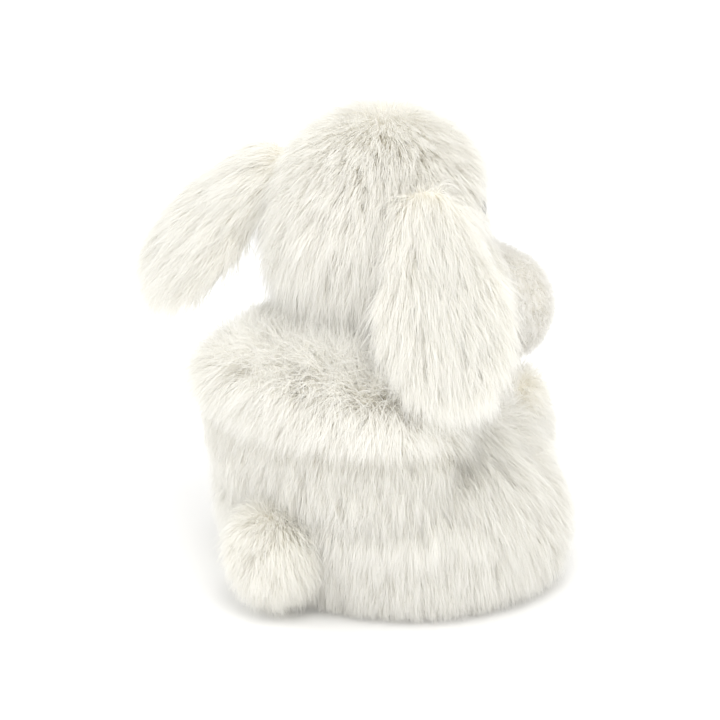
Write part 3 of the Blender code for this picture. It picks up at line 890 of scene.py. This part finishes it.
@dataclass
class Ear:
    """A hanging ear: long pile on its back, short nap on its lining."""

    side: Side
    fan: float = 14.0
    edge: float = -0.25
    back_pile: Pile = field(default_factory=lambda: Pile(
        length=0.0150, lift=0.48, twist=0.6, lock=0.0046, droop=0.10))
    lining_pile: Pile = field(default_factory=lambda: Pile(
        density=4.0e6, length=0.0042, lift=0.55, width=0.00030, lock=0.0030, gather=0.3, stray=0.2,
        droop=0.05, segments=2, finish=SHORT_PILE, slot="lining"))

    def axes(self) -> tuple[Array, Array, Array]:
        """The ear's root, the way it hangs and the way its furry back faces."""
        word = self.side.word
        root = joint_point("ear_%s_lift" % word)
        across = joint_axis("ear_%s_lift" % word)
        points = points_of(frame["nodes"]["ear_%s_back" % word].data)
        down = points.mean(axis=0) - np.array(root)
        down = unit((down - np.array(across) * (down @ np.array(across)))[None])[0]
        lining = points_of(frame["nodes"]["ear_%s_lining" % word].data).mean(axis=0)
        outward = points.mean(axis=0) - lining
        outward = unit((outward - down * (outward @ down))[None])[0]
        return np.array(root), down, outward

    def build(self) -> None:
        """Makes the cover and both kinds of pile."""
        word = self.side.word
        root, down, outward = self.axes()
        nodes = ["ear_%s_back" % word, "ear_%s_lining" % word]
        padding = Padding(voxel=0.0025, cap=0.0012, shrink=0.0004, fill=0.3)
        cover = Cover("ear_%s_cover" % word, "ear_" + word, nodes, [], [], padding).build()

        def comb(spots: Array, normals: Array) -> Array:
            """Down the ear, and fanned out to its edges."""
            aside = (spots - root) - np.outer((spots - root) @ down, down)
            return down + aside * self.fan

        def on_back(spots: Array, normals: Array) -> Array:
            """The furry back and the edge all round."""
            return np.where(normals @ outward > self.edge, 1.0, 0.0)

        def on_lining(spots: Array, normals: Array) -> Array:
            """The lining inside the edge."""
            return np.where(normals @ outward <= self.edge, 1.0, 0.0)

        seed = 31 if self.side is Side.LEFT else 33
        whole = {"": everywhere}
        Coat(cover, "ear_" + word, seed).grow("ear_%s_pile" % word, self.back_pile, comb, on_back, whole)
        coat = Coat(cover, "ear_" + word, seed + 1)
        coat.grow("ear_%s_nap" % word, self.lining_pile, comb, on_lining, whole)


@dataclass
class Limb:
    """An arm or a foot: a small stuffed form with its pile combed along it."""

    name: str
    nodes: list[str]
    core: list[str]
    away_from: Vector
    seed: int
    pile: Pile = field(default_factory=lambda: Pile(length=0.0110, lift=0.60, lock=0.0038, droop=0.10))

    def build(self) -> None:
        """Makes the cover and its pile."""
        padding = Padding(voxel=0.0022, cap=0.0010, shrink=0.0004)
        cover = Cover(self.name + "_cover", self.name, self.nodes, self.core, [], padding).build()

        def comb(spots: Array, normals: Array) -> Array:
            """Away from where the limb is sewn on."""
            return unit(spots - np.array(self.away_from)) + (0.0, 0.0, -0.15)

        def shorten(spots: Array, normals: Array) -> Array:
            """Full length but for the underside that rests on the floor."""
            return np.where(resting(spots, normals), 0.0, 1.0)

        coat = Coat(cover, self.name, self.seed)
        coat.grow(self.name + "_pile", self.pile, comb, shorten, {"": everywhere})


@dataclass
class Tail:
    """The tail: a round tuft of pile that stands out all ways."""

    pile: Pile = field(default_factory=lambda: Pile(
        density=9.0e6, length=0.0108, lift=0.78, lock=0.0040, stray=0.22, droop=0.16, finish=TAIL_PILE))

    def build(self) -> None:
        """Makes the cover and its pile."""
        padding = Padding(voxel=0.0025, cap=0.0012, shrink=0.0004)
        cover = Cover("tail_cover_round", "tail", ["tail_cover"], ["tail_stuffing"], [], padding).build()
        Coat(cover, "tail", 61).grow("tail_pile", self.pile, downwards, everywhere, {"": everywhere})


@dataclass
class Neck:
    """The neck: a ball of fibre in cloth, with a little pile where the head and body part."""

    pile: Pile = field(default_factory=lambda: Pile(length=0.0150, lift=0.60, lock=0.004, droop=0.2))

    def build(self) -> None:
        """Makes the cover and its pile."""
        padding = Padding(voxel=0.0025, cap=0.0002, shrink=0.0006)
        cover = Cover("neck_cover", "neck", ["neck_stuffing"], [], [], padding).build()
        middle = joint_point("neck_turn").z

        def shorten(spots: Array, normals: Array) -> Array:
            """Only round the middle, where the ball shows."""
            return np.where(np.abs(spots[:, 2] - middle) < 0.006, 1.0, 0.0)

        Coat(cover, "neck", 71).grow("neck_pile", self.pile, downwards, shorten, {"": everywhere})


@dataclass
class Face:
    """The eyes and the stitched nose."""

    eye_radius: float = 0.0050
    eye_dome: float = 0.0034
    nose_ribs: int = 13
    rib_height: float = 0.18
    nose_taper: float = 0.28
    nose_sink: float = 0.0016
    eye_back: float = 0.30

    def eye(self, side: Side) -> None:
        """Makes a glossy bead over the plain one, and gives the plain one the same gloss."""
        node = "eye_" + side.word
        washer = "eye_washer_" + side.word
        points = points_of(frame["nodes"][node].data)
        washer_middle = points_of(frame["nodes"][washer].data).mean(axis=0)
        far = points[np.argmax(np.linalg.norm(points - washer_middle, axis=1))]
        out = Vector(far - washer_middle).normalized()
        top = Vector(far)
        bm = bmesh.new()
        bmesh.ops.create_uvsphere(bm, u_segments=40, v_segments=24, radius=1.0)
        for vert in bm.verts:
            depth = self.eye_dome if vert.co.z > 0 else self.eye_dome * self.eye_back
            vert.co = Vector((vert.co.x * self.eye_radius, vert.co.y * self.eye_radius, vert.co.z * depth))
        turn = out.to_track_quat("Z", "Y").to_matrix().to_4x4()
        bmesh.ops.transform(bm, matrix=Matrix.Translation(top - out * self.eye_dome) @ turn, verts=bm.verts)
        bead = add_object(node + "_bead", mesh_of(node + "_bead", bm))
        bead.data.materials.append(material_once(BLACK_GLOSS))
        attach(bead, "head")
        frame["nodes"][node].data.materials.clear()
        frame["nodes"][node].data.materials.append(material_once(BLACK_GLOSS))
        LOG.info("%s_bead", node)

    def nose(self) -> None:
        """Makes the satin-stitched nose, its threads standing as ribs side by side."""
        low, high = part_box("nose_stitching")
        middle = (low + high) / 2 + Vector((0, self.nose_sink, -self.nose_sink * 0.4))
        half = (high - low) / 2
        bm = bmesh.new()
        bmesh.ops.create_uvsphere(bm, u_segments=96, v_segments=32, radius=1.0)
        for vert in bm.verts:
            taper = 1 - self.nose_taper + self.nose_taper * vert.co.z
            rib = 1 + self.rib_height * abs(math.sin(vert.co.x * math.pi * self.nose_ribs / 2))
            width, depth = half.x * taper, half.y * rib
            vert.co = Vector((vert.co.x * width, vert.co.y * depth, vert.co.z * half.z)) + middle
        piece = add_object("nose_satin", mesh_of("nose_satin", bm))
        piece.data.materials.append(material_once(NOSE_THREAD))
        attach(piece, "head")
        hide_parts("nose_stitching")
        LOG.info("nose_satin")

    def build(self) -> None:
        """Makes the whole face."""
        for side in Side:
            self.eye(side)
        self.nose()


@dataclass(frozen=True)
class Lamp:
    """A large soft lamp that faces the rabbit."""

    name: str
    place: tuple[float, float, float]
    power: float
    tone: tuple[float, float, float]
    size: float = 0.9
    aim: tuple[float, float, float] = (0.0, 0.0, 0.09)

    def build(self) -> None:
        """Hangs the lamp."""
        data = bpy.data.lights.new(self.name, "AREA")
        data.shape = "DISK"
        data.size = self.size
        data.energy = self.power
        data.color = self.tone
        lamp = bpy.data.objects.new(self.name, data)
        bpy.context.scene.collection.objects.link(lamp)
        lamp.location = self.place
        lamp.rotation_mode = "QUATERNION"
        lamp.rotation_quaternion = (Vector(self.aim) - Vector(self.place)).to_track_quat("-Z", "Y")


KEY = Lamp("key", (-0.55, 0.35, 1.25), 7.0, (1.0, 0.99, 0.97))
FILL = Lamp("fill", (0.9, 0.9, 0.7), 3.0, (0.97, 0.99, 1.0))


@dataclass
class Studio:
    """A pale floor, soft light from above and the camera."""

    azimuth: float = 222.0
    elevation: float = 20.0
    lens: float = 120.0
    distance: float = 0.96
    aim_right: float = -0.0124
    aim_up: float = 0.0805
    aim_back: float = 0.031
    floor_size: float = 6.0
    floor_tone: float = 0.93
    bounces: int = 8
    sky: float = 1.07
    sky_tone: tuple[float, float, float] = (1.0, 0.996, 0.985)

    def back(self) -> Vector:
        """The direction from the rabbit to the camera."""
        turn, rise = math.radians(self.azimuth), math.radians(self.elevation)
        return Vector((math.sin(turn) * math.cos(rise), -math.cos(turn) * math.cos(rise), math.sin(rise)))

    def camera(self) -> None:
        """Sets up the camera."""
        back = self.back()
        right = Vector((0, 0, 1)).cross(back).normalized()
        up = back.cross(right)
        aim = right * self.aim_right + up * self.aim_up + back * self.aim_back
        data = bpy.data.cameras.new("camera")
        data.lens = self.lens
        camera = bpy.data.objects.new("camera", data)
        bpy.context.scene.collection.objects.link(camera)
        camera.location = aim + back * self.distance
        camera.rotation_mode = "QUATERNION"
        camera.rotation_quaternion = (-back).to_track_quat("-Z", "Y")
        bpy.context.scene.camera = camera

    def floor(self) -> None:
        """Lays the pale floor."""
        bm = bmesh.new()
        bmesh.ops.create_grid(bm, x_segments=1, y_segments=1, size=self.floor_size / 2)
        floor = add_object("floor", mesh_of("floor", bm))
        graph = Graph("floor")
        tone = (self.floor_tone,) * 3 + (1,)
        shader = graph.node("ShaderNodeBsdfPrincipled", {}, {"Base Color": tone, "Roughness": 0.9})
        floor.data.materials.append(graph.close(shader.outputs[0]))

    def build(self) -> None:
        """Makes the floor, the light and the camera."""
        self.floor()
        self.camera()
        bpy.context.scene.cycles.diffuse_bounces = self.bounces
        world = bpy.data.worlds.new("studio")
        world.use_nodes = True
        background = world.node_tree.nodes["Background"]
        background.inputs["Color"].default_value = (*self.sky_tone, 1)
        background.inputs["Strength"].default_value = self.sky
        bpy.context.scene.world = world
        KEY.build()
        FILL.build()
        bpy.context.scene.view_settings.view_transform = "Standard"


def dress_inner_nodes() -> None:
    """Gives every CAD node that stays its own finish."""
    finishes = {
        "stuffing": FIBRE, "pellets": PELLET_CLOTH, "thread": SEWING_THREAD, "washer": NATURAL_PLASTIC,
        "eye": BLACK_GLOSS, "nose": NOSE_THREAD, "fur": BACKING, "short_fur": BACKING, "lining": VELOUR,
    }
    for row in frame["record"]["subparts"]:
        materials = frame["nodes"][row["node"]].data.materials
        materials.clear()
        materials.append(material_once(finishes[row["material_slot"]]))


def limbs() -> list[Limb]:
    """The arms and the feet."""
    made = []
    for index, side in enumerate(Side):
        word = side.word
        arm, foot = "arm_" + word, "foot_" + word
        made.append(Limb(arm, [arm + "_outer", arm + "_inner"], [arm + "_stuffing"],
                         joint_point(arm + "_raise"), 41 + index))
        made.append(Limb(foot, [foot + "_top", foot + "_sole"], [foot + "_stuffing"],
                         joint_point(foot + "_turn"), 51 + index))
    return made


def main() -> None:
    """Builds the rabbit and the studio round it."""
    logging.basicConfig(level=logging.INFO, format="%(message)s")
    Studio().build()
    dress_inner_nodes()
    parts = [Body(), Head(), Neck(), Tail(), Ear(Side.LEFT), Ear(Side.RIGHT), *limbs(), Face()]
    for part in parts:
        part.build()
        LOG.info("built %s", type(part).__name__)


if __name__ == "__main__":
    main()
